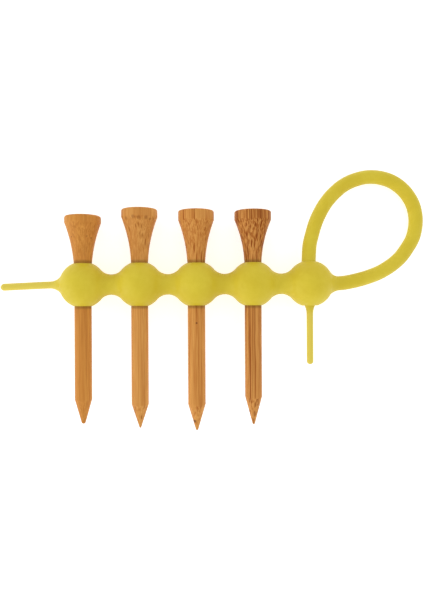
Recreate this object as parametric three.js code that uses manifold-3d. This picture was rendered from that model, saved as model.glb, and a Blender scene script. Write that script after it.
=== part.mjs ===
// Golf tee strap: one soft moulded string of five round beads that holds four bamboo tees.
//
// The strap lies flat. X runs along the string of beads, Y along the tees (heads towards +Y) and
// Z up. Every bead is bored through along Y. Four bores hold a tee. The fifth takes the tapered
// end of the strap's own cord, which closes the cord into a hanging loop.
//
// The strap is one moulding, and it is split here where it bends: at the necks between beads and
// at the root of the thin threading tail. All lengths are in millimetres.

import * as THREE from "three";
import { mergeVertices } from "three/addons/utils/BufferGeometryUtils.js";
import Module from "manifold-3d";

const wasm = await Module();
wasm.setup();

// ---- driving dimensions ----------------------------------------------------------------------

const BEAD_RADIUS = 7.6;
const PITCH = 18.55;
const BEAD_COUNT = 5;
const FACE_GAP = 0.3;

const NECK_RADIUS = 3.35;
const NECK_HALF_LENGTH = 1.8;

const CORD_RADIUS = 2.3;
const CORD_FILLET = 4.0;

const THREAD_RADIUS = 1.15;
const THREAD_FILLET = 4.6;
const THREAD_REACH = 26.9;
const THREAD_ROOT_START = 8.2;
const THREAD_ROOT_END = 13.0;
const THREAD_LEAN = THREE.MathUtils.degToRad(2.5);

const PULL_TOP = 7.15;
const PULL_SHANK_END = 5.0;
const PULL_MOUTH = { at: 7.3, radius: 1.65 };
const PULL_TAPER_END = 9.9;
const PULL_REACH = 26.4;
const PULL_RADIUS = 1.05;

const TEE_BORE = 3.1;
const CORD_BORE = CORD_RADIUS + FACE_GAP;
const MOUTH_CHAMFER_FROM = 6.7;
const BORE_OVERRUN = 1.5;

// Each tee: how far its head stands above the bead line, its length, and its turned profile.
const TEES = [
  {
    headAt: 22.45, length: 67.9, headRadius: 5.9, rim: 2.2, flare: 17.5, flarePower: 2.1,
    shaftRadius: 2.76, cone: 8.0, tipRadius: 1.0,
  },
  {
    headAt: 24.55, length: 71.45, headRadius: 5.88, rim: 2.6, flare: 16.0, flarePower: 2.0,
    shaftRadius: 2.78, cone: 7.8, tipRadius: 0.45,
  },
  {
    headAt: 24.0, length: 71.75, headRadius: 5.84, rim: 3.1, flare: 16.5, flarePower: 2.1,
    shaftRadius: 2.86, cone: 8.6, tipRadius: 0.6,
  },
  {
    headAt: 23.8, length: 69.7, headRadius: 5.98, rim: 2.9, flare: 16.0, flarePower: 2.15,
    shaftRadius: 2.76, cone: 9.2, tipRadius: 0.6,
  },
];
const HEAD_EDGE = 0.35;
const SEAT_RING = 0.95;
const CUP_DEPTH = 1.6;

// Route of the loop cord, measured from the middle of the last bead in X and Y, and from the
// surface it lies on in Z. It leaves the bead sideways, sags until its far side lies on the
// surface, and comes back down into the top of the same bead.
const LOOP_ROUTE = [
  [10.05, 0.1, 7.6],
  [11.6, 0.25, 7.56],
  [14.9, 0.9, 7.4],
  [18.8, 1.95, 7.05],
  [23.1, 3.55, 6.45],
  [27.05, 5.8, 5.85],
  [30.4, 8.5, 5.15],
  [33.0, 11.7, 4.45],
  [35.1, 15.1, 3.8],
  [36.25, 19.1, 3.25],
  [36.4, 23.2, 2.8],
  [35.4, 27.2, 2.5],
  [32.9, 31.1, 2.36],
  [29.15, 34.1, 2.38],
  [24.6, 35.6, 2.65],
  [19.9, 35.7, 3.15],
  [15.45, 34.5, 3.75],
  [11.75, 32.6, 4.4],
  [8.55, 29.9, 5.05],
  [6.0, 27.0, 5.7],
  [3.9, 23.7, 6.25],
  [2.15, 20.0, 6.75],
  [0.85, 15.9, 7.2],
  [0.0, 12.3, 7.5],
  [-0.3, 7.45, 7.6],
];

// ---- how finely round things are cut ---------------------------------------------------------

const AROUND_BEAD = 24;
const AROUND_TEE = 20;
const AROUND_NECK = 16;
const AROUND_TAIL = 8;
const AROUND_CORD = 10;
const SPHERE_STEPS = 5;
const FILLET_STEPS = 3;
const FLARE_STEPS = 7;
const CUP_STEPS = 4;
const LOOP_STEPS = 44;
const SAME_POINT = 1e-4;

// ---- materials -------------------------------------------------------------------------------

const silicone = new THREE.MeshStandardMaterial({ color: 0xd1bc43, roughness: 0.55 });
const bamboo = new THREE.MeshStandardMaterial({ color: 0xc58a4a, roughness: 0.65 });

// ---- geometry helpers ------------------------------------------------------------------------

// A fillet of radius rho that joins the bead's sphere to a coaxial rod: it touches the rod at
// x = reach, and the sphere at angle `meets` from the axis.
function fillet(rodRadius, rho) {
  const height = rodRadius + rho;
  const reach = Math.sqrt((BEAD_RADIUS + rho) ** 2 - height ** 2);
  return { rho, height, reach, meets: Math.atan2(height, reach) };
}

// The fillet that leaves a given radius half way between two beads.
function neckFillet() {
  const half = PITCH / 2;
  const rho = (half ** 2 + NECK_RADIUS ** 2 - BEAD_RADIUS ** 2) / (2 * (BEAD_RADIUS - NECK_RADIUS));
  return fillet(NECK_RADIUS, rho);
}

function filletRadiusAt(f, x) {
  return f.height - Math.sqrt(f.rho ** 2 - (f.reach - x) ** 2);
}

// Points [x, radius] along a fillet between two places on the axis.
function filletPoints(f, fromX, toX, steps = FILLET_STEPS) {
  const points = [];
  for (let i = 0; i <= steps; i++) {
    const x = fromX + ((toX - fromX) * i) / steps;
    points.push([x, filletRadiusAt(f, x)]);
  }
  return points;
}

// Turns a profile of [distance along the axis, radius] about the Y axis.
function turned(profile, segments) {
  const points = profile.map(([along, radius]) => new THREE.Vector2(radius, along));
  return new THREE.LatheGeometry(points, segments);
}

// The same, about the X axis.
function turnedAlongX(profile, segments) {
  return turned(profile, segments).rotateZ(-Math.PI / 2);
}

// Merges shared corners and drops the empty triangles a lathe leaves on its axis.
function closed(geometry) {
  const bare = geometry.clone();
  bare.deleteAttribute("normal");
  bare.deleteAttribute("uv");
  const merged = mergeVertices(bare, SAME_POINT);
  const corners = merged.index.array;
  const kept = [];
  for (let i = 0; i < corners.length; i += 3) {
    const [a, b, c] = corners.slice(i, i + 3);
    if (a !== b && b !== c && c !== a) kept.push(a, b, c);
  }
  merged.setIndex(kept);
  return merged;
}

function solid(geometry) {
  const shape = closed(geometry);
  return new wasm.Manifold(
    new wasm.Mesh({
      numProp: 3,
      vertProperties: Float32Array.from(shape.attributes.position.array),
      triVerts: Uint32Array.from(shape.index.array),
    }),
  );
}

function cut(geometry, cutter) {
  const mesh = solid(geometry).subtract(solid(cutter)).getMesh();
  const result = new THREE.BufferGeometry();
  result.setAttribute("position", new THREE.BufferAttribute(mesh.vertProperties, 3));
  result.setIndex(new THREE.BufferAttribute(mesh.triVerts, 1));
  return result;
}

// ---- the strap -------------------------------------------------------------------------------

const neck = neckFillet();
const neckStart = PITCH / 2 - NECK_HALF_LENGTH;
const sides = {
  neck: { curve: neck, end: neckStart - FACE_GAP },
  cord: { curve: fillet(CORD_RADIUS, CORD_FILLET) },
  thread: { curve: fillet(THREAD_RADIUS, THREAD_FILLET), end: THREAD_ROOT_START },
};
sides.cord.end = sides.cord.curve.reach;

// One half of a bead's outline: from its flat end along the fillet, then round to the equator.
function halfOutline({ curve, end }) {
  const touch = BEAD_RADIUS * Math.cos(curve.meets);
  const points = [[end, 0], ...filletPoints(curve, end, touch)];
  for (let i = 1; i <= SPHERE_STEPS; i++) {
    const angle = curve.meets + ((Math.PI / 2 - curve.meets) * i) / SPHERE_STEPS;
    points.push([BEAD_RADIUS * Math.cos(angle), BEAD_RADIUS * Math.sin(angle)]);
  }
  return points;
}

// The bore's cutter, with a small chamfer at each mouth.
function boreCutter(radius) {
  const past = BEAD_RADIUS + BORE_OVERRUN;
  const wide = radius + past - MOUTH_CHAMFER_FROM;
  const outline = [
    [-past, 0], [-past, wide], [-MOUTH_CHAMFER_FROM, radius],
    [MOUTH_CHAMFER_FROM, radius], [past, wide], [past, 0],
  ];
  return turned(outline, AROUND_BEAD);
}

function bead(left, right, boreRadius) {
  const leftHalf = halfOutline(left).map(([x, r]) => [-x, r]);
  const rightHalf = halfOutline(right).reverse();
  const outline = [...leftHalf, ...rightHalf.slice(1)];
  return cut(turnedAlongX(outline, AROUND_BEAD), boreCutter(boreRadius));
}

function neckPiece() {
  const middle = PITCH / 2;
  const half = filletPoints(neck, neckStart, middle).map(([x, r]) => [x - middle, r]);
  const mirrored = half.slice(0, -1).reverse().map(([x, r]) => [-x, r]);
  const outline = [[-NECK_HALF_LENGTH, 0], ...half, ...mirrored, [NECK_HALF_LENGTH, 0]];
  return turnedAlongX(outline, AROUND_NECK);
}

function threadRoot() {
  const curve = sides.thread.curve;
  const from = THREAD_ROOT_START + FACE_GAP;
  const taper = filletPoints(curve, from, curve.reach);
  const rod = [[THREAD_ROOT_END, THREAD_RADIUS], [THREAD_ROOT_END, 0]];
  return turnedAlongX([[from, 0], ...taper, ...rod], AROUND_TAIL).rotateZ(Math.PI);
}

// The domed end of a thin round tail whose tip is at `to` along its own axis.
function domedEnd(radius, to) {
  const shoulder = to - radius;
  return [
    [shoulder, radius],
    [shoulder + radius * Math.SQRT1_2, radius * Math.SQRT1_2],
    [to, 0],
  ];
}

// The threading tail leans a little towards the tees' points, about the middle of its root.
function threadTail() {
  const from = THREAD_ROOT_END + FACE_GAP;
  const pivot = (THREAD_ROOT_START + from) / 2;
  const outline = [[from, 0], [from, THREAD_RADIUS], ...domedEnd(THREAD_RADIUS, THREAD_REACH)];
  const straight = turnedAlongX(outline, AROUND_TAIL).rotateZ(Math.PI);
  return straight.translate(pivot, 0, 0).rotateZ(THREAD_LEAN).translate(-pivot, 0, 0);
}

// The cord's end: a thick shank inside the last bead, a taper and a thin tail to pull on.
function pullTail() {
  const downward = [
    [-PULL_TOP, 0], [-PULL_TOP, CORD_RADIUS],
    [PULL_SHANK_END, CORD_RADIUS], [PULL_MOUTH.at, PULL_MOUTH.radius],
    [PULL_TAPER_END, PULL_RADIUS], ...domedEnd(PULL_RADIUS, PULL_REACH),
  ];
  return turned(downward, AROUND_NECK).rotateZ(Math.PI);
}

function loopCord() {
  const points = LOOP_ROUTE.map(([x, y, z]) => new THREE.Vector3(x, y, z - BEAD_RADIUS));
  const section = new THREE.Shape();
  for (let i = 0; i < AROUND_CORD; i++) {
    const angle = (2 * Math.PI * i) / AROUND_CORD;
    const x = CORD_RADIUS * Math.cos(angle);
    const y = CORD_RADIUS * Math.sin(angle);
    if (i === 0) section.moveTo(x, y);
    else section.lineTo(x, y);
  }
  section.closePath();
  return new THREE.ExtrudeGeometry(section, {
    steps: LOOP_STEPS,
    bevelEnabled: false,
    extrudePath: new THREE.CatmullRomCurve3(points),
  });
}

// ---- the tees --------------------------------------------------------------------------------

// A turned tee, from its blunt point up to its head, with a shallow cup for the ball. Its flare
// leaves the rim fast and eases into the straight shaft.
function tee(spec) {
  const top = spec.headAt;
  const point = top - spec.length;
  const outline = [
    [point, 0], [point, spec.tipRadius],
    [point + spec.cone, spec.shaftRadius],
  ];
  for (let i = 0; i <= FLARE_STEPS; i++) {
    const share = i / FLARE_STEPS;
    const radius = spec.shaftRadius + (spec.headRadius - spec.shaftRadius) * share ** spec.flarePower;
    outline.push([top - spec.rim - spec.flare * (1 - share), radius]);
  }
  const cupRadius = spec.headRadius - HEAD_EDGE - SEAT_RING;
  outline.push([top - HEAD_EDGE, spec.headRadius], [top, spec.headRadius - HEAD_EDGE]);
  for (let i = 0; i <= CUP_STEPS; i++) {
    const share = 1 - i / CUP_STEPS;
    outline.push([top - CUP_DEPTH * (1 - share ** 2), cupRadius * share]);
  }
  return turned(outline, AROUND_TEE);
}

// ---- assembly --------------------------------------------------------------------------------

const part = new THREE.Group();

function add(name, geometry, material, x = 0) {
  const mesh = new THREE.Mesh(geometry, material.clone());
  mesh.name = name;
  mesh.position.set(x, 0, 0);
  part.add(mesh);
}

const beadX = (i) => i * PITCH;
const last = BEAD_COUNT - 1;

for (let i = 0; i < BEAD_COUNT; i++) {
  const left = i === 0 ? sides.thread : sides.neck;
  const right = i === last ? sides.cord : sides.neck;
  add(`bead_${i + 1}`, bead(left, right, i === last ? CORD_BORE : TEE_BORE), silicone, beadX(i));
}
for (let i = 0; i < last; i++) {
  add(`neck_${i + 1}${i + 2}`, neckPiece(), silicone, beadX(i) + PITCH / 2);
}
add("thread_tail_root", threadRoot(), silicone);
add("thread_tail", threadTail(), silicone);
add("loop_cord", loopCord(), silicone, beadX(last));
add("pull_tail", pullTail(), silicone, beadX(last));
TEES.forEach((spec, i) => add(`tee_${i + 1}`, tee(spec), bamboo, beadX(i)));

// The origin is on the surface, under the middle of the strap and tees, leaving the loop out.
const box = new THREE.Box3();
for (const mesh of part.children) {
  if (mesh.name !== "loop_cord") box.expandByObject(mesh, true);
}
const middle = box.getCenter(new THREE.Vector3());
part.position.set(-middle.x, -middle.y, -box.min.z);

export default part;
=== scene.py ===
"""Golf tee strap: a soft yellow moulding of five beads that holds four bamboo tees.

The strap lies flat: X along the beads, Y along the tees with their heads towards +Y, Z up. The
beads, necks, tails and loop are one silicone moulding, drawn as one piece for each bead and one
for each stretch that bends or slides. Lengths are in metres; MM turns millimetres into metres.
"""

import math
import random

import bpy
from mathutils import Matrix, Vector


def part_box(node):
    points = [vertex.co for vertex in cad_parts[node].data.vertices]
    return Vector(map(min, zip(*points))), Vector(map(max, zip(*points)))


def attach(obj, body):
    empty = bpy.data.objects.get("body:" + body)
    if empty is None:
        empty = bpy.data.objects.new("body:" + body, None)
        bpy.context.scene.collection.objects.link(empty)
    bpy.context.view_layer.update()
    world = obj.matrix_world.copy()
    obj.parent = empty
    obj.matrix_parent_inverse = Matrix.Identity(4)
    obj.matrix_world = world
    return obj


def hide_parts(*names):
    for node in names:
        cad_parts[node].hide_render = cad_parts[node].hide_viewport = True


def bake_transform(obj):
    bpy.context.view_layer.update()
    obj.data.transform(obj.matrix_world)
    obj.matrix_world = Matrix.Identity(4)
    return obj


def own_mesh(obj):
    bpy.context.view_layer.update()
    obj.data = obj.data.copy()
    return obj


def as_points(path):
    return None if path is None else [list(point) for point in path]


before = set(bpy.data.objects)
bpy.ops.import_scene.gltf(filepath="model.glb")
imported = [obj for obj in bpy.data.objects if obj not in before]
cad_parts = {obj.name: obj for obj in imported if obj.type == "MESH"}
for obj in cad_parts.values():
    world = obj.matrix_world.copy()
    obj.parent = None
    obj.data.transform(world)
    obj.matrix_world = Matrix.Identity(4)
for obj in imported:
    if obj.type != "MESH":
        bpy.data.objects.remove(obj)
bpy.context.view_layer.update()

MM = 0.001
scene = bpy.context.scene

# ---- places and sizes taken from the frame ---------------------------------------------------


def middle(node):
    """The middle of a CAD node's box."""
    low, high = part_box(node)
    return (low + high) / 2


BEADS = 5
TEES = 4
LAST = BEADS

# The middle of each bead. The end beads' boxes reach further on one side than on the other, so X
# comes from the tee or cord in the bore.
centre = {i: middle(f"bead_{i}") for i in range(1, BEADS + 1)}
for i in range(1, TEES + 1):
    centre[i].x = middle(f"tee_{i}").x
centre[LAST].x = middle("pull_tail").x

PITCH = centre[3].x - centre[2].x
BEAD_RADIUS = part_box("bead_3")[1].z / 2
MID_Z = centre[3].z
CORD_RADIUS = (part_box("pull_tail")[1].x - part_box("pull_tail")[0].x) / 2
THREAD_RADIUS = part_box("thread_tail")[1].z - MID_Z

# How far the tips of the two tails are from the middles of their beads.
THREAD_TIP = centre[1].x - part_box("thread_tail")[0].x
PULL_TIP = centre[LAST].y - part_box("pull_tail")[0].y

# ---- sizes of the strap that the frame doesn't hold ------------------------------------------

NECK_RADIUS = 3.35 * MM
CORD_FILLET = 4.0 * MM
THREAD_FILLET = 4.6 * MM

# The neck's fillets meet half way between two beads, at the waist.
HALF_PITCH = PITCH / 2
NECK_FILLET = (HALF_PITCH**2 + NECK_RADIUS**2 - BEAD_RADIUS**2) / (2 * (BEAD_RADIUS - NECK_RADIUS))

# Where a neck, the threading tail or the loop meets the side of its bead, it runs on under the
# sphere: for the length of the tuck, or half of that for the loop. There it is UNDERCUT times the
# square of how far it has run below the sphere.
TUCK = 1.2 * MM
UNDERCUT = 0.35 / MM

# How far the mouths of a bore are from the bead's middle, taken for a bore as wide as the cord,
# the rounding of their lips, and how much less the bore measures in radius than the tee in it.
BEAD_MOUTH = math.sqrt(BEAD_RADIUS**2 - CORD_RADIUS**2)
LIP = 0.2 * MM
SNUG = 0.01 * MM

# The threading tail leans to one side about a pivot, and eases into the lean on both sides of it.
THREAD_PIVOT = 10.75 * MM
THREAD_LEAN = math.radians(2.5)
THREAD_EASE = 2.2 * MM

# The pull tail: how far above the bead's middle its shank starts, the length and the share of the
# radius that its narrowed end has, its taper as (distance below the bead's middle, radius) in
# millimetres, and its radius after that.
PULL_TOP = 6.6 * MM
PULL_NARROWED = 0.4 * MM
PULL_NARROWED_TO = 0.97
PULL_TAPER = [
    (4.6, 2.3),
    (5.4, 2.27),
    (6.2, 2.08),
    (7.0, 1.74),
    (7.8, 1.42),
    (8.6, 1.2),
    (9.4, 1.09),
    (10.4, 1.05),
]
PULL_RADIUS = 1.05 * MM

# The parting line: a low ridge round the strap at mid height. Its section is given as (place
# across it in half widths, share of its height). No other column of the mesh stands nearer than
# RIDGE_CLEAR half widths, and the ridge fades out where a dome's radius is under RIDGE_FADE.
RIDGE_HEIGHT = 0.03 * MM
RIDGE_HALF_WIDTH = 0.13 * MM
RIDGE_SECTION = ((-1, 0.0), (-0.5, 0.6), (0, 1.0), (0.5, 0.6), (1, 0.0))
RIDGE_CLEAR = 1.4
RIDGE_FADE = 0.5 * MM

# ---- sizes of the loop -----------------------------------------------------------------------

# The cord's route from the side of the last bead round to its top, in millimetres: X and Y from
# the bead's middle, Z from the surface the strap lies on. Then the place inside the bead where
# the cord ends.
LOOP_ROUTE = [
    (10.05, 0.1, 7.6),
    (11.6, 0.25, 7.56),
    (14.9, 0.9, 7.4),
    (18.8, 1.95, 7.05),
    (23.1, 3.55, 6.45),
    (27.05, 5.8, 5.85),
    (30.4, 8.5, 5.15),
    (33.0, 11.7, 4.45),
    (35.1, 15.1, 3.8),
    (36.25, 19.1, 3.25),
    (36.4, 23.2, 2.8),
    (35.4, 27.2, 2.5),
    (32.9, 31.1, 2.36),
    (29.15, 34.1, 2.38),
    (24.6, 35.6, 2.65),
    (19.9, 35.7, 3.15),
    (15.45, 34.5, 3.75),
    (11.75, 32.6, 4.4),
    (8.55, 29.9, 5.05),
    (6.0, 27.0, 5.7),
    (3.9, 23.7, 6.25),
    (2.15, 20.0, 6.75),
    (0.85, 15.9, 7.2),
    (0.0, 12.3, 7.5),
    (-0.3, 7.45, 7.6),
]
LOOP_INSIDE_END = (-0.2, 5.2, 7.6)
LOOP_STEP = 0.35 * MM

# ---- sizes of the tees -----------------------------------------------------------------------

# In millimetres: the heights of the rim, the flare and the cone of the point, the radius of the
# shaft and of the cone's tip, and the rounding of the rim's edge. power is the flare's exponent.
# Then the tip's rounding as a share of its radius, how far the rim's middle stands out, the flat
# ring that the ball rests on, the cup in it, and the step down into the cup with its worn lip.
TEE_SHAPES = {
    1: dict(rim=2.2, flare=17.5, power=2.1, shaft=2.76, cone=8.0, tip=1.0, edge=0.75),
    2: dict(rim=2.6, flare=16.0, power=2.0, shaft=2.78, cone=7.8, tip=0.45, edge=0.6),
    3: dict(rim=3.1, flare=16.5, power=2.1, shaft=2.86, cone=8.6, tip=0.6, edge=0.55),
    4: dict(rim=2.9, flare=16.0, power=2.15, shaft=2.76, cone=9.2, tip=0.6, edge=0.55),
}
TIP_ROUNDING = 0.7
RIM_BULGE = 0.01 * MM
SEAT_RING = 0.665 * MM
CUP_DEPTH = 1.6 * MM
CUP_STEP = 0.14 * MM
CUP_LIP = 0.2 * MM

# Turned bamboo is very slightly out of round. These numbers of waves go round a tee. Each has a
# height of OUT_OF_ROUND times the radius, times a size drawn from the range below it, and they
# turn by WAVE_TWIST radians a metre along the tee.
WAVES_AROUND = (2, 3, 5, 8)
OUT_OF_ROUND = 0.0016
WAVE_SIZES = (0.4, 1.0)
WAVE_TWIST = 40
WAVE_SEED = 40

# A tee's edges that are sharper than this many degrees are shaded crisp.
CRISP_ANGLE = 11

# ---- how finely round things are cut ---------------------------------------------------------

# Columns around each kind of piece.
AROUND_BEAD = 120
AROUND_NECK = 96
AROUND_TEE = 96
AROUND_TAIL = 48
AROUND_CORD = 40

# Steps along each stretch of a profile; a tee's shaft has a length for each step instead.
# EDGE_STEPS cut every small rounding but a tee's tip. The last two are the steps between two
# given points of a curve.
BEAD_STEPS = 110
BORE_STEPS = 12
NECK_STEPS = 44
THREAD_FILLET_STEPS = 48
THREAD_STEPS = 40
SHANK_STEPS = 12
PULL_STEPS = 36
TIP_STEPS = 6
CONE_STEPS = 12
SHAFT_STEP = 0.8 * MM
FLARE_STEPS = 48
CUP_STEPS = 13
EDGE_STEPS = 8
ROUTE_STEPS = 12
TAPER_STEPS = 6

# The last ring of a domed end or a tee's tip is this far from its axis, as an angle in radians
# about the middle of the rounding. A fan closes it.
DOME_POLE = 0.06
TIP_POLE = 0.03 * math.pi

# ---- camera ----------------------------------------------------------------------------------

# The camera stands straight above LOOK_AT, a place at mid height between beads 3 and 4.
CAMERA_HEIGHT = 180 * MM
CAMERA_LENS = 33.0
SENSOR = 36.0
CAMERA_ROLL = math.radians(-0.3)
NEAREST_SEEN = 10 * MM
FARTHEST_SEEN = 10.0
LOOK_AT = centre[1] + Vector((42.2, -5.2, 0)) * MM


def make_camera():
    """The camera stands straight above the strap and looks down."""
    camera = bpy.data.objects.new("camera", bpy.data.cameras.new("camera"))
    camera.data.lens = CAMERA_LENS
    camera.data.sensor_width = SENSOR
    camera.data.clip_start = NEAREST_SEEN
    camera.data.clip_end = FARTHEST_SEEN
    camera.location = LOOK_AT + Vector((0, 0, CAMERA_HEIGHT))
    camera.rotation_euler = (0, 0, CAMERA_ROLL)
    scene.collection.objects.link(camera)
    scene.camera = camera


make_camera()

# ---- mesh helpers ----------------------------------------------------------------------------


def piece(name, verts, faces, crisp_angle=None):
    """A closed mesh object, shaded smooth. Edges sharper than crisp_angle degrees stay crisp."""
    mesh = bpy.data.meshes.new(name)
    mesh.from_pydata(verts, [], faces)
    mesh.validate()
    mesh.shade_smooth()
    if crisp_angle:
        mesh.set_sharp_from_angle(angle=math.radians(crisp_angle))
    obj = bpy.data.objects.new(name, mesh)
    scene.collection.objects.link(obj)
    return obj


def columns(around, ridge_angle=0.0):
    """Angles of the columns around an axis, as (angle, ridge share). With a ridge, extra columns
    stand on and beside the parting plane, which is at 0 and half a turn."""
    found = [(2 * math.pi * i / around, 0.0) for i in range(around)]
    if not ridge_angle:
        return found
    clear = math.sin(RIDGE_CLEAR * ridge_angle)
    kept = [(angle, share) for angle, share in found if abs(math.sin(angle)) > clear]
    for turn in (0.0, math.pi):
        for offset, share in RIDGE_SECTION:
            kept.append(((turn + offset * ridge_angle) % (2 * math.pi), share))
    return sorted(kept)


def placed(rings, place, half_turn=False):
    """The same rings at a place in the frame, turned half a turn about Z first if asked."""
    way = -1 if half_turn else 1
    return [[place + Vector((way * x, way * y, z)) for x, y, z in ring] for ring in rings]


def loft(rings, joined=False):
    """Vertices and faces of rings of points, each as long as the next. The ends are closed with a
    fan, or the last ring is joined to the first."""
    verts = [p for ring in rings for p in ring]
    n = len(rings[0])
    faces = []
    for i in range(len(rings) if joined else len(rings) - 1):
        a, b = i * n, ((i + 1) % len(rings)) * n
        for j in range(n):
            k = (j + 1) % n
            faces.append((a + j, a + k, b + k, b + j))
    if not joined:
        for ring in (0, len(rings) - 1):
            hub = len(verts)
            verts.append(sum((Vector(p) for p in rings[ring]), Vector()) / n)
            for j in range(n):
                a, b = ring * n + j, ring * n + (j + 1) % n
                faces.append((hub, b, a) if ring == 0 else (hub, a, b))
    return verts, faces


def turned_rings(profile, axis, around, ridge_radius):
    """Rings of a profile [(along, radius), ...] turned about axis, "X" or "Y". ridge_radius is
    the radius that the parting line's width is set by; a profile point may switch the line off
    with a third value of 0."""
    spokes = columns(around, RIDGE_HALF_WIDTH / ridge_radius)
    rings = []
    for point in profile:
        along, radius = point[0], point[1]
        ridge = RIDGE_HEIGHT * (point[2] if len(point) > 2 else 1.0)
        ring = []
        for angle, share in spokes:
            r = radius + share * ridge * min(1.0, radius / RIDGE_FADE)
            side, up = r * math.cos(angle), r * math.sin(angle)
            ring.append((along, side, up) if axis == "X" else (-side, along, up))
        rings.append(ring)
    return rings


def arc(centre_along, centre_radius, radius, start, end, steps):
    """Points of an arc in a profile, with angles in radians from the axis direction."""
    points = []
    for i in range(steps + 1):
        angle = start + (end - start) * i / steps
        along = centre_along + radius * math.cos(angle)
        points.append((along, centre_radius + radius * math.sin(angle)))
    return points


def straight(start, end, steps):
    """Points of a straight stretch in a profile, without its two ends."""
    points = []
    for k in range(1, steps):
        share = k / steps
        along = start[0] + (end[0] - start[0]) * share
        points.append((along, start[1] + (end[1] - start[1]) * share))
    return points


def domed(radius, tip):
    """The round end of a rod in a profile, with its tip at a place along it."""
    return arc(tip - radius, 0, radius, math.pi / 2, DOME_POLE, EDGE_STEPS)


def radius_at(profile, along):
    """A profile's radius at a place along it, where it first passes that place."""
    for (a, radius_a), (b, radius_b) in zip(profile, profile[1:]):
        if a <= along <= b and b > a:
            return radius_a + (radius_b - radius_a) * (along - a) / (b - a)
    raise ValueError("the place is off the profile")


def smooth_curve(points, steps):
    """Points along a Catmull-Rom curve through the given ones, steps to a stretch."""
    padded = [2 * points[0] - points[1], *points, 2 * points[-1] - points[-2]]
    found = []
    for a, b, c, d in zip(padded, padded[1:], padded[2:], padded[3:]):
        for i in range(steps):
            t = i / steps
            square = (2 * a - 5 * b + 4 * c - d) * t * t
            cube = (3 * b - a - 3 * c + d) * t**3
            found.append(0.5 * (2 * b + (c - a) * t + square + cube))
    return [*found, points[-1]]


def even(points, step):
    """The same line, with points an even distance apart."""
    lengths = [0.0]
    for a, b in zip(points, points[1:]):
        lengths.append(lengths[-1] + (b - a).length)
    count = round(lengths[-1] / step)
    found = []
    j = 0
    for i in range(count + 1):
        want = lengths[-1] * i / count
        while j < len(points) - 2 and lengths[j + 1] < want:
            j += 1
        share = (want - lengths[j]) / (lengths[j + 1] - lengths[j])
        found.append(points[j].lerp(points[j + 1], min(share, 1.0)))
    return found


class Fillet:
    """The hollow curve that joins a bead's sphere to a rod on the same axis. touch and reach say
    how far from the bead's middle it leaves the sphere and meets the rod."""

    def __init__(self, rod, rho):
        self.rho = rho
        self.height = rod + rho
        self.reach = math.sqrt((BEAD_RADIUS + rho) ** 2 - self.height**2)
        self.touch = self.reach * BEAD_RADIUS / (BEAD_RADIUS + rho)

    def radius(self, along):
        """Radius at a distance from the bead's middle. Inside the bead it dips under the
        sphere, so that the joint between the two pieces never shows."""
        if along >= self.reach:
            return self.height - self.rho
        if along >= self.touch:
            return self.height - math.sqrt(self.rho**2 - (self.reach - along) ** 2)
        sphere = math.sqrt(BEAD_RADIUS**2 - along**2)
        return sphere - UNDERCUT * (self.touch - along) ** 2

    def points(self, end, steps):
        """Profile points from under the sphere out to a distance from the bead's middle."""
        start = self.touch - TUCK
        places = [start + (end - start) * i / steps for i in range(steps + 1)]
        return [(along, self.radius(along)) for along in places]


NECK = Fillet(NECK_RADIUS, NECK_FILLET)
CORD = Fillet(CORD_RADIUS, CORD_FILLET)
THREAD = Fillet(THREAD_RADIUS, THREAD_FILLET)

# ---- the loop cord ---------------------------------------------------------------------------


def make_loop():
    """The cord of the hanging loop, and the line along its middle. Only where it leaves the side
    of the bead does it widen into a fillet."""
    base = Vector((centre[LAST].x, centre[LAST].y, 0))
    inside = Vector((CORD.touch - 0.5 * TUCK, 0, MID_Z))
    boss = Vector((0.5 * (CORD.touch + CORD.reach), 0, MID_Z))
    route = [Vector(p) * MM for p in LOOP_ROUTE]
    end = Vector(LOOP_INSIDE_END) * MM
    path = even(smooth_curve([inside, boss, *route, end], ROUTE_STEPS), LOOP_STEP)
    spokes = columns(AROUND_CORD, RIDGE_HALF_WIDTH / CORD_RADIUS)
    rings = []
    for i, p in enumerate(path):
        ahead = path[min(i + 1, len(path) - 1)] - path[max(i - 1, 0)]
        tangent = ahead.normalized()
        up = (Vector((0, 0, 1)) - tangent * tangent.z).normalized()
        side = up.cross(tangent)
        leaving = p.y < BEAD_RADIUS and p.x > 0
        radius = CORD.radius(p.x) if leaving else CORD_RADIUS
        ring = []
        for angle, share in spokes:
            r = radius + share * RIDGE_HEIGHT
            ring.append(base + p + side * (r * math.cos(angle)) + up * (r * math.sin(angle)))
        rings.append(ring)
    loop = piece("loop_cord_moulding", *loft(rings))
    return loop, [base + p for p in path]


loop, loop_path = make_loop()
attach(loop, "bead_5")
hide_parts("loop_cord")
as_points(loop_path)

# ---- tees ------------------------------------------------------------------------------------


def cup_radius(i):
    """Radius of the cup in a tee's head, up to the step round it."""
    head = (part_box(f"tee_{i}")[1].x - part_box(f"tee_{i}")[0].x) / 2
    return head - TEE_SHAPES[i]["edge"] * MM - SEAT_RING


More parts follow.
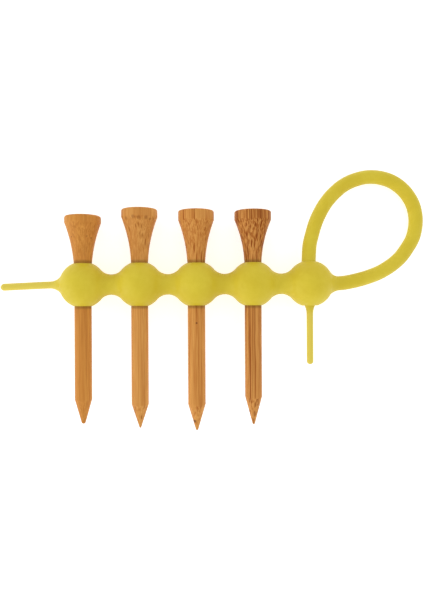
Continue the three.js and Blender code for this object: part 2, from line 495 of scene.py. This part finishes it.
def tee_outline(i):
    """A tee's profile from its point to the middle of its cup, as (height above the bead line,
    radius)."""
    shape = {key: value * (1 if key == "power" else MM) for key, value in TEE_SHAPES[i].items()}
    rim, flare, shaft = shape["rim"], shape["flare"], shape["shaft"]
    cone, tip, edge = shape["cone"], shape["tip"], shape["edge"]
    box_low, box_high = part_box(f"tee_{i}")
    top = box_high.y - centre[i].y
    point = box_low.y - centre[i].y
    head = (box_high.x - box_low.x) / 2

    slope = math.atan2(shaft - tip, cone)
    ball = TIP_ROUNDING * tip
    outline = arc(point + ball, 0.0, ball, math.pi - TIP_POLE, math.pi / 2 + slope, TIP_STEPS)
    cone_top = (point + cone, shaft)
    outline += straight(outline[-1], cone_top, CONE_STEPS)
    outline.append(cone_top)
    flare_from = top - rim - flare
    shaft_steps = int((flare_from - cone_top[0]) / SHAFT_STEP)
    outline += straight(cone_top, (flare_from, shaft), shaft_steps)
    for k in range(FLARE_STEPS + 1):
        share = k / FLARE_STEPS
        radius = shaft + (head - shaft) * share ** shape["power"]
        outline.append((flare_from + flare * share, radius))
    rim_top = top - edge
    outline.append((0.5 * (top - rim + rim_top), head + RIM_BULGE))
    outline += arc(rim_top, head - edge, edge, math.pi / 2, 0, EDGE_STEPS)
    cup = cup_radius(i)
    outline += [(top, cup + CUP_LIP), (top - 0.3 * CUP_STEP, cup + 0.4 * CUP_LIP)]
    for k in range(CUP_STEPS):
        share = 1 - k / CUP_STEPS
        dish = (CUP_DEPTH - CUP_STEP) * (1 - share**2)
        outline.append((top - CUP_STEP - dish, cup * share))
    return outline


outlines = {i: tee_outline(i) for i in range(1, TEES + 1)}


def make_tee(i):
    """A turned tee, very slightly out of round as turned bamboo is."""
    rng = random.Random(WAVE_SEED + i)
    waves = [(n, rng.uniform(0, 2 * math.pi), rng.uniform(*WAVE_SIZES)) for n in WAVES_AROUND]
    spokes = columns(AROUND_TEE)
    rings = []
    for height, radius in outlines[i]:
        turn = WAVE_TWIST * height
        ring = []
        for angle, _ in spokes:
            wobble = sum(size * math.sin(n * angle + phase + turn) for n, phase, size in waves)
            r = radius * (1 + OUT_OF_ROUND * wobble)
            ring.append((-r * math.cos(angle), height, r * math.sin(angle)))
        rings.append(ring)
    tee = piece(f"tee_{i}_turned", *loft(rings), crisp_angle=CRISP_ANGLE)
    tee.location = centre[i]
    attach(tee, f"tee_{i}")
    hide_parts(f"tee_{i}")
    return tee


tees = {i: make_tee(i) for i in range(1, TEES + 1)}

# ---- the strap's beads, necks and tails ------------------------------------------------------


def bead_profile(bore_top, bore_bottom):
    """A closed profile about the bore: out over the sphere, round each lip and back through the
    bore. The parting line runs only over the outside."""

    def lip(bore):
        inner = BEAD_RADIUS - LIP
        along = math.sqrt(inner**2 - (bore + LIP) ** 2)
        return along, math.atan2(bore + LIP, along)

    top, top_angle = lip(bore_top)
    bottom, bottom_angle = lip(bore_bottom)
    outside = arc(0, 0, BEAD_RADIUS, math.pi - bottom_angle, top_angle, BEAD_STEPS)
    lip_top = arc(top, bore_top + LIP, LIP, top_angle, -math.pi / 2, EDGE_STEPS)
    wall = straight((top, bore_top), (-bottom, bore_bottom), BORE_STEPS)
    below = -math.pi - bottom_angle
    lip_bottom = arc(-bottom, bore_bottom + LIP, LIP, -math.pi / 2, below, EDGE_STEPS)
    bore = [*lip_top[1:], *wall, *lip_bottom[:-1]]
    return [(a, r, 1.0) for a, r in outside] + [(a, r, 0.0) for a, r in bore]


def make_bead(i):
    """A bead, whose bore follows the tee or the cord that it grips."""
    if i == LAST:
        bore_top = bore_bottom = CORD_RADIUS - 2 * SNUG
    else:
        mouth = BEAD_MOUTH - LIP
        bore_top = radius_at(outlines[i], mouth) - SNUG
        bore_bottom = radius_at(outlines[i], -mouth) - SNUG
    rings = turned_rings(bead_profile(bore_top, bore_bottom), "Y", AROUND_BEAD, BEAD_RADIUS)
    bead = piece(f"bead_{i}_moulding", *loft(placed(rings, centre[i]), joined=True))
    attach(bead, f"bead_{i}")
    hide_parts(f"bead_{i}")
    return bead


def make_neck(i):
    """The waisted neck between bead i and the next."""
    half = NECK.points(HALF_PITCH, NECK_STEPS)
    profile = half + [(PITCH - a, r) for a, r in reversed(half[:-1])]
    rings = turned_rings(profile, "X", AROUND_NECK, NECK_RADIUS)
    neck = piece(f"neck_{i}{i + 1}_moulding", *loft(placed(rings, centre[i])))
    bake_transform(neck)
    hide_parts(f"neck_{i}{i + 1}")
    return neck


def lean(along):
    """How far the threading tail has leaned to one side, at a distance from bead 1's middle."""
    past = along - THREAD_PIVOT
    if past >= THREAD_EASE:
        return THREAD_LEAN * past
    return THREAD_LEAN * max(past + THREAD_EASE, 0.0) ** 2 / (4 * THREAD_EASE)


def make_thread_tail():
    """The thin tail at the strap's free end, with the flare that joins it to bead 1."""
    profile = THREAD.points(THREAD.reach, THREAD_FILLET_STEPS)
    dome = domed(THREAD_RADIUS, THREAD_TIP)
    profile += straight((THREAD.reach, THREAD_RADIUS), dome[0], THREAD_STEPS)
    profile += dome
    rings = turned_rings(profile, "X", AROUND_TAIL, 2 * THREAD_RADIUS)
    leaning = [[(x, y + lean(x), z) for x, y, z in ring] for ring in rings]
    tail = piece("thread_tail_moulding", *loft(placed(leaning, centre[1], half_turn=True)))
    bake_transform(tail)
    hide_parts("thread_tail", "thread_tail_root")
    return tail


def make_pull_tail():
    """The end of the loop cord: a shank that fills the last bead's bore, a taper, a thin tail."""
    shank_from = (-PULL_TOP + PULL_NARROWED, CORD_RADIUS)
    taper = smooth_curve([Vector((along, r, 0)) * MM for along, r in PULL_TAPER], TAPER_STEPS)
    dome = domed(PULL_RADIUS, PULL_TIP)
    profile = [(-PULL_TOP, CORD_RADIUS * PULL_NARROWED_TO), shank_from]
    profile += straight(shank_from, (taper[0].x, CORD_RADIUS), SHANK_STEPS)
    profile += [(p.x, p.y) for p in taper]
    profile += straight((taper[-1].x, PULL_RADIUS), dome[0], PULL_STEPS)
    profile += dome
    rings = turned_rings(profile, "Y", AROUND_TAIL, 1.5 * PULL_RADIUS)
    tail = piece("pull_tail_moulding", *loft(placed(rings, centre[LAST], half_turn=True)))
    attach(tail, "pull_tail")
    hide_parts("pull_tail")
    return tail


beads = [make_bead(i) for i in range(1, BEADS + 1)]
necks = [make_neck(i) for i in range(1, BEADS)]
tails = [make_thread_tail(), make_pull_tail()]
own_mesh(loop)

# ---- materials -------------------------------------------------------------------------------


class Nodes:
    """A short way to write a node tree: each call makes one node and joins its inputs."""

    def __init__(self, name):
        self.material = bpy.data.materials.new(name)
        self.material.use_nodes = True
        self.tree = self.material.node_tree
        self.shader = self.tree.nodes["Principled BSDF"]

    def join(self, value, socket):
        """Join another node's output to a socket, or set the socket to a plain value."""
        if isinstance(value, bpy.types.NodeSocket):
            self.tree.links.new(value, socket)
        else:
            socket.default_value = value

    def node(self, kind, inputs, **settings):
        """A new node, with its settings and then its inputs."""
        node = self.tree.nodes.new(kind)
        for key, value in settings.items():
            setattr(node, key, value)
        for key, value in inputs.items():
            self.join(value, node.inputs[key])
        return node

    def place(self):
        """The place on the object, in its own coordinates."""
        return self.node("ShaderNodeTexCoord", {}).outputs["Object"]

    def split(self, vector):
        """The X, Y and Z of a vector."""
        return self.node("ShaderNodeSeparateXYZ", {0: vector}).outputs

    def combine(self, x=0.0, y=0.0, z=0.0):
        return self.node("ShaderNodeCombineXYZ", {0: x, 1: y, 2: z}).outputs[0]

    def scaled(self, vector, factor):
        inputs = {0: vector, "Scale": factor}
        return self.node("ShaderNodeVectorMath", inputs, operation="SCALE").outputs[0]

    def distance(self, a, b=(0, 0, 0)):
        return self.node("ShaderNodeVectorMath", {0: a, 1: b}, operation="DISTANCE").outputs[1]

    def math(self, operation, a, b=0.0, c=0.0):
        return self.node("ShaderNodeMath", {0: a, 1: b, 2: c}, operation=operation).outputs[0]

    def ramp(self, value, low, high, to_low=0.0, to_high=1.0):
        """to_low where the value is low, to_high where it is high, and smoothly between them."""
        inputs = {"Value": value, 1: low, 2: high, 3: to_low, 4: to_high}
        return self.node("ShaderNodeMapRange", inputs, interpolation_type="SMOOTHSTEP").outputs[0]

    def mix(self, share, a, b):
        """Colour a, with a share of colour b over it."""
        return self.node("ShaderNodeMix", {0: share, 6: a, 7: b}, data_type="RGBA").outputs[2]

    def noise(self, vector, scale, detail=2.0, rough=0.5):
        """Smooth noise, most of it between 0.3 and 0.7."""
        inputs = {"Vector": vector, "Scale": scale, "Detail": detail, "Roughness": rough}
        return self.node("ShaderNodeTexNoise", inputs).outputs[0]

    def finish(self, tone, roughness, height, bump, **constants):
        """Join everything to the shader. bump is how high a height of 1 stands."""
        inputs = {"Height": height, "Distance": bump, "Strength": 1.0}
        self.join(tone, self.shader.inputs["Base Color"])
        self.join(roughness, self.shader.inputs["Roughness"])
        self.join(self.node("ShaderNodeBump", inputs).outputs[0], self.shader.inputs["Normal"])
        for key, value in constants.items():
            self.shader.inputs[key.replace("_", " ")].default_value = value
        return self.material


def colour(red, green, blue):
    """A colour given as 8-bit display values, as the renderer's linear values."""

    def linear(value):
        c = value / 255
        return c / 12.92 if c <= 0.04045 else ((c + 0.055) / 1.055) ** 2.4

    return (linear(red), linear(green), linear(blue), 1.0)


SILICONE = colour(204, 182, 34)
SILICONE_LIGHT = colour(210, 190, 44)
SILICONE_DEEP = colour(194, 172, 30)
SILICONE_THIN = colour(216, 196, 74)
SILICONE_BUMP = 0.012 * MM
SILICONE_ROUGHNESS = (0.5, 0.6)

# How often the silicone's three textures repeat in a metre, how strong the specks are, and what
# share of the bump is grain. Then how far the pull tail takes to get thin below its bead.
CLOUDS = 90
SPECKS = 700
MATT_GRAIN = 3800
SPECK_STRENGTH = 0.18
GRAIN_SHARE = 0.35
PULL_THINS_OVER = 3 * MM


def silicone_material(name, thinning=None):
    """Matt moulded silicone. Where the strap is thin it is paler, because light comes through it:
    thinning is an axis, and where along it the moulding starts and stops getting thin."""
    n = Nodes(name)
    place = n.place()
    clouds = n.noise(place, CLOUDS, detail=3)
    specks = n.noise(place, SPECKS, detail=3)
    grain = n.noise(place, MATT_GRAIN)
    tone = n.mix(n.ramp(clouds, 0.35, 0.65), SILICONE, SILICONE_LIGHT)
    tone = n.mix(n.ramp(specks, 0.3, 0.7, 0.0, SPECK_STRENGTH), tone, SILICONE_DEEP)
    if thinning:
        axis, start, stop = thinning
        tone = n.mix(n.ramp(n.split(place)[axis], start, stop), tone, SILICONE_THIN)
    roughness = n.ramp(specks, 0.3, 0.7, *SILICONE_ROUGHNESS)
    height = n.math("MULTIPLY", specks, 1 - GRAIN_SHARE)
    height = n.math("MULTIPLY_ADD", grain, GRAIN_SHARE, height)
    constants = dict(IOR=1.41, Sheen_Weight=0.22, Sheen_Roughness=0.25)
    return n.finish(tone, roughness, height, SILICONE_BUMP, **constants)


# How each tee's bamboo looks. The dark fibre bundles: how many to a millimetre, their radius in
# millimetres, the share of them that shows on the shaft, on the flare and on the point, how much
# that share grows with each millimetre towards +X, and how dark they are on the shaft and on the
# flare. Then how strong the streaks between them are, and how much likelier they get with each
# millimetre towards the head. The seed picks which stretch of the endless texture a tee is cut
# from. Marks are single dark spots: X and Y from the bead's middle and a radius, in millimetres.
BAMBOO = {
    1: dict(
        pitch=1.2, radius=0.2, shaft=0.4, flare=0.4, point=0.4, right=0.0,
        depth=(0.42, 0.42), streak=0.5, streak_growth=0.0, seed=14.4,
        light=colour(210, 146, 66), bundle=colour(140, 78, 22), streak_tone=colour(170, 104, 36),
        marks=[(3.3, 15.0, 0.45), (2.2, 15.5, 0.35), (-2.9, 15.4, 0.4)],
        mark_depth=0.45, mark_tone=colour(96, 50, 20),
    ),
    2: dict(
        pitch=1.05, radius=0.26, shaft=0.65, flare=0.82, point=0.95, right=0.0,
        depth=(0.72, 0.8), streak=0.45, streak_growth=0.0007, seed=48.1,
        light=colour(216, 158, 83), bundle=colour(144, 76, 12), streak_tone=colour(174, 104, 36),
        marks=[
            (-3.7, 21.2, 0.8), (-1.3, 21.5, 0.85), (0.5, 21.2, 0.95),
            (2.8, 21.3, 0.95), (3.9, 20.9, 0.7),
        ],
        mark_depth=0.5, mark_tone=colour(130, 72, 20),
    ),
    3: dict(
        pitch=1.2, radius=0.25, shaft=0.65, flare=0.82, point=0.95, right=0.07,
        depth=(0.82, 0.92), streak=0.6, streak_growth=0.0007, seed=20.6,
        light=colour(217, 157, 81), bundle=colour(150, 77, 8), streak_tone=colour(168, 94, 28),
        marks=[(0.1, -12.6, 0.45), (-0.75, -44.6, 0.8)],
        mark_depth=0.85, mark_tone=colour(96, 50, 20),
    ),
    4: dict(
        pitch=1.7, radius=0.28, shaft=0.5, flare=1.0, point=0.9, right=0.0,
        depth=(0.72, 1.0), streak=0.8, streak_growth=0.0014, seed=33.3,
        light=colour(212, 152, 80), bundle=colour(132, 63, 0), streak_tone=colour(150, 78, 12),
        marks=[],
    ),
}
BAMBOO_BUMP = 0.02 * MM
BAMBOO_ROUGHNESS = (0.62, 0.5)
GRAIN_TONE = colour(172, 102, 36)
BAND_TONE = colour(188, 118, 46)
# Painted shade on the tee where it meets a bead's mouth.
MOUTH_SHADE_TONE = colour(112, 84, 22)
# The next two colours are painted shade in the cup and along the step into it.
CUP_SHADE_TONE = colour(120, 68, 24)
CUP_EDGE_SHADE_TONE = colour(92, 50, 18)

# How often the bamboo's textures repeat in a millimetre across the fibres, or for the turning
# marks along the tee.
FIBRE_GRAIN = 3.4
FIBRE_STREAKS = 2.2
FIBRE_BANDS = 0.45
TURNING_MARKS = 3.0

# The fibres wander to a side by up to half of WANDER, with WANDER_RATE bends in a millimetre, and
# their texture runs FIBRE_RATE times as fast along them as across them.
WANDER = 0.5
WANDER_RATE = 0.09
WANDER_SEED = 7.3
FIBRE_RATE = 0.013

# Where the look of the shaft turns into that of the flare, in millimetres above the bead line,
# and how far on each side of the shoulder it turns into that of the point.
FLARE_BLEND = (4.0, 12.0)
SHOULDER_BLEND = 1.0

# How strong each layer of colour is, and how strong the faintest bundle is next to the darkest.
GRAIN_STRENGTH = 0.5
BAND_STRENGTH = 0.3
# The mouth layer is painted shade.
MOUTH_SHADE_STRENGTH = 0.5
# The two cup layers are painted shade.
CUP_SHADE_STRENGTH = 0.22
CUP_EDGE_SHADE_STRENGTH = 0.4
FAINTEST_BUNDLE = 0.55

# How bundles and marks fade in, as shares of their radius from their middles, and how the rings
# of painted shade at the bead's mouths and the line of painted shade along the cup's edge do, in
# millimetres. The cup's painted shade fades over CUP_MARGIN outside its edge, and the line
# reaches CUP_EDGE_REACH down from the top.
BUNDLE_FADE = (1.25, 0.6)
MARK_FADE = (1.0, 0.3)
MOUTH_SHADE_FADE = (1.0, 0.2)
CUP_EDGE_SHADE_FADE = (0.28, 0.05)
CUP_MARGIN = 0.1
CUP_EDGE_REACH = 0.5

# The bump: the grain stands up to 1, a bundle sinks and a turning mark stands by these.
BUNDLE_SINKS = 0.8
TURNING_STANDS = 0.7


def fibre_bundles(n, i, fibre, x, y):
    """How strongly a dark fibre bundle shows, from 0 to 1. Each cell of the texture holds one
    bundle, and the cell's random colour decides whether it shows and how strongly."""
    look = BAMBOO[i]
    cells = n.node("ShaderNodeTexVoronoi", {"Vector": fibre, "Scale": look["pitch"]})
    luck = n.node("ShaderNodeSeparateColor", {0: cells.outputs["Color"]}).outputs
    shoulder = (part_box(f"tee_{i}")[0].y - centre[i].y) / MM + TEE_SHAPES[i]["cone"]
    above, below = shoulder + SHOULDER_BLEND, shoulder - SHOULDER_BLEND
    share = n.ramp(y, *FLARE_BLEND, look["shaft"], look["flare"])
    share = n.math("MAXIMUM", share, n.ramp(y, above, below, 0.0, look["point"]))
    share = n.math("MULTIPLY_ADD", x, look["right"], share)
    shows = n.math("LESS_THAN", luck[0], share)
    strength = n.math("MULTIPLY", shows, n.ramp(luck[1], 0.0, 1.0, FAINTEST_BUNDLE, 1.0))
    outer, inner = (look["radius"] * look["pitch"] * part for part in BUNDLE_FADE)
    core = n.ramp(cells.outputs["Distance"], outer, inner)
    return n.math("MULTIPLY", strength, core)


def with_marks(n, i, tone, place):
    """The tee's single dark marks, each on its surface."""
    look = BAMBOO[i]
    for mark_x, mark_y, radius in look["marks"]:
        surface = radius_at(outlines[i], mark_y * MM) / MM
        away = n.distance(place, (mark_x, mark_y, math.sqrt(surface**2 - mark_x**2)))
        outer, inner = (radius * part for part in MARK_FADE)
        dark = n.ramp(away, outer, inner, 0.0, look["mark_depth"])
        tone = n.mix(dark, tone, look["mark_tone"])
    return tone


def with_painted_mouth_shade(n, tone, y):
    """A faint ring of painted shade on the tee at each mouth of the bead, where the silicone meets
    it.
    """
    for mouth in (BEAD_MOUTH / MM, -BEAD_MOUTH / MM):
        away = n.math("ABSOLUTE", n.math("SUBTRACT", y, mouth))
        tone = n.mix(n.ramp(away, *MOUTH_SHADE_FADE, 0.0, MOUTH_SHADE_STRENGTH), tone, MOUTH_SHADE_TONE)
    return tone


def with_painted_cup_shade(n, i, tone, y, from_axis):
    """The cup is darker with painted shade, most of all along its edge where it steps down."""
    cup = cup_radius(i) / MM
    top = (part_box(f"tee_{i}")[1].y - centre[i].y) / MM
    below = n.math("SUBTRACT", top, y)
    near_top = n.math("LESS_THAN", below, CUP_DEPTH / MM + CUP_MARGIN)
    inside = n.ramp(from_axis, cup + CUP_MARGIN, cup - CUP_MARGIN / 2, 0.0, CUP_SHADE_STRENGTH)
    tone = n.mix(n.math("MULTIPLY", near_top, inside), tone, CUP_SHADE_TONE)
    on_line = n.math("LESS_THAN", below, CUP_EDGE_REACH)
    from_edge = n.math("ABSOLUTE", n.math("SUBTRACT", from_axis, cup))
    line = n.ramp(from_edge, *CUP_EDGE_SHADE_FADE, 0.0, CUP_EDGE_SHADE_STRENGTH)
    return n.mix(n.math("MULTIPLY", on_line, line), tone, CUP_EDGE_SHADE_TONE)


def bamboo_material(i):
    """Bamboo turned across its fibres. The bundles run along Y: on the shaft they show as long
    streaks, and on the flare, the point and the cup they are cut into dashes and dots. All
    lengths in the node tree are in millimetres."""
    look = BAMBOO[i]
    n = Nodes(f"bamboo_{i}")
    place = n.scaled(n.place(), 1 / MM)
    x, y, z = n.split(place)
    from_axis = n.distance(n.combine(x=x, z=z))
    wander = n.noise(n.combine(i * WANDER_SEED, n.math("MULTIPLY", y, WANDER_RATE)), scale=1.0)
    shift = n.math("MULTIPLY", n.math("SUBTRACT", wander, 0.5), WANDER)
    along = n.math("MULTIPLY_ADD", y, FIBRE_RATE, look["seed"])
    fibre = n.combine(n.math("ADD", x, shift), along, z)

    grain = n.noise(fibre, FIBRE_GRAIN, detail=4, rough=0.7)
    streaks = n.noise(fibre, FIBRE_STREAKS, detail=3, rough=0.65)
    streaks = n.math("MULTIPLY_ADD", y, look["streak_growth"], streaks)
    bands = n.noise(fibre, FIBRE_BANDS)
    bundles = fibre_bundles(n, i, fibre, x, y)
    bundle_depth = n.ramp(y, *FLARE_BLEND, *look["depth"])
    tone = n.mix(n.ramp(grain, 0.35, 0.65, GRAIN_STRENGTH, 0.0), look["light"], GRAIN_TONE)
    tone = n.mix(n.ramp(bands, 0.38, 0.62, 0.0, BAND_STRENGTH), tone, BAND_TONE)
    tone = n.mix(n.ramp(streaks, 0.46, 0.6, 0.0, look["streak"]), tone, look["streak_tone"])
    tone = n.mix(n.math("MULTIPLY", bundles, bundle_depth), tone, look["bundle"])
    tone = with_marks(n, i, tone, place)
    # Painted shade where the tee meets the bead's mouths.
    tone = with_painted_mouth_shade(n, tone, y)
    # Painted shade in the cup and along its edge.
    tone = with_painted_cup_shade(n, i, tone, y, from_axis)

    # The turning marks are rings round the tee, and in its cup rings in each other.
    turning = n.noise(n.combine(n.math("ADD", y, from_axis)), TURNING_MARKS, detail=3, rough=0.7)
    roughness = n.ramp(grain, 0.3, 0.7, *BAMBOO_ROUGHNESS)
    height = n.math("MULTIPLY_ADD", bundles, -BUNDLE_SINKS, grain)
    height = n.math("MULTIPLY_ADD", turning, TURNING_STANDS, height)
    constants = dict(IOR=1.25, Sheen_Weight=0.06, Sheen_Roughness=0.3)
    return n.finish(tone, roughness, height, BAMBOO_BUMP, **constants)


silicone = silicone_material("silicone")
for obj in [loop, *beads, *necks]:
    obj.data.materials.append(silicone)
thread_thins = (0, centre[1].x - THREAD.touch, centre[1].x - THREAD.reach)
pull_from = centre[LAST].y - BEAD_RADIUS
pull_thins = (1, pull_from, pull_from - PULL_THINS_OVER)
for obj, name, thinning in zip(tails, ("thread", "pull"), (thread_thins, pull_thins)):
    obj.data.materials.append(silicone_material(f"silicone_{name}_tail", thinning))
for i, obj in tees.items():
    obj.data.materials.append(bamboo_material(i))

# ---- floor and light -------------------------------------------------------------------------

FLOOR_HALF = 3.0
FLOOR_DROP = 0.05 * MM
FLOOR_PAINT = 0.72
FLOOR_ROUGHNESS = 0.9
FLOOR_GLOW = 0.62

# The white sky is brighter at the horizon than overhead.
HORIZON = 1.2
ZENITH = 0.84

KEY_PLACE = (-0.62, -0.3, 0.24)
KEY_SIZE = 0.5
KEY_POWER = 1.25


def make_floor():
    """A plain floor just under the strap. It glows, so that it stays white in shadow too."""
    h = FLOOR_HALF
    mesh = bpy.data.meshes.new("floor")
    mesh.from_pydata([(-h, -h, 0), (h, -h, 0), (h, h, 0), (-h, h, 0)], [], [(0, 1, 2, 3)])
    floor = bpy.data.objects.new("floor", mesh)
    floor.location.z = -FLOOR_DROP
    scene.collection.objects.link(floor)
    paint = bpy.data.materials.new("floor")
    paint.use_nodes = True
    shader = paint.node_tree.nodes["Principled BSDF"]
    shader.inputs["Base Color"].default_value = (FLOOR_PAINT, FLOOR_PAINT, FLOOR_PAINT, 1)
    shader.inputs["Roughness"].default_value = FLOOR_ROUGHNESS
    shader.inputs["Emission Color"].default_value = (1, 1, 1, 1)
    shader.inputs["Emission Strength"].default_value = FLOOR_GLOW
    mesh.materials.append(paint)


def make_sky():
    """Soft white light from all round."""
    world = bpy.data.worlds.new("studio")
    world.use_nodes = True
    tree = world.node_tree
    background = tree.nodes["Background"]
    background.inputs["Color"].default_value = (1, 1, 1, 1)
    direction = tree.nodes.new("ShaderNodeTexCoord")
    parts = tree.nodes.new("ShaderNodeSeparateXYZ")
    fall = tree.nodes.new("ShaderNodeMapRange")
    fall.inputs["To Min"].default_value = HORIZON
    fall.inputs["To Max"].default_value = ZENITH
    tree.links.new(direction.outputs["Generated"], parts.inputs[0])
    tree.links.new(parts.outputs["Z"], fall.inputs["Value"])
    tree.links.new(fall.outputs[0], background.inputs["Strength"])
    scene.world = world


def make_key_light():
    """One broad lamp, low on the left, aimed at the middle of the view."""
    lamp = bpy.data.lights.new("key", "AREA")
    lamp.size = KEY_SIZE
    lamp.energy = KEY_POWER
    key = bpy.data.objects.new("key", lamp)
    key.location = KEY_PLACE
    key.rotation_euler = (LOOK_AT - key.location).to_track_quat("-Z", "Y").to_euler()
    scene.collection.objects.link(key)


make_floor()
make_sky()
make_key_light()

# Colours are shown as they are, without a film's curve.
scene.view_settings.view_transform = "Standard"
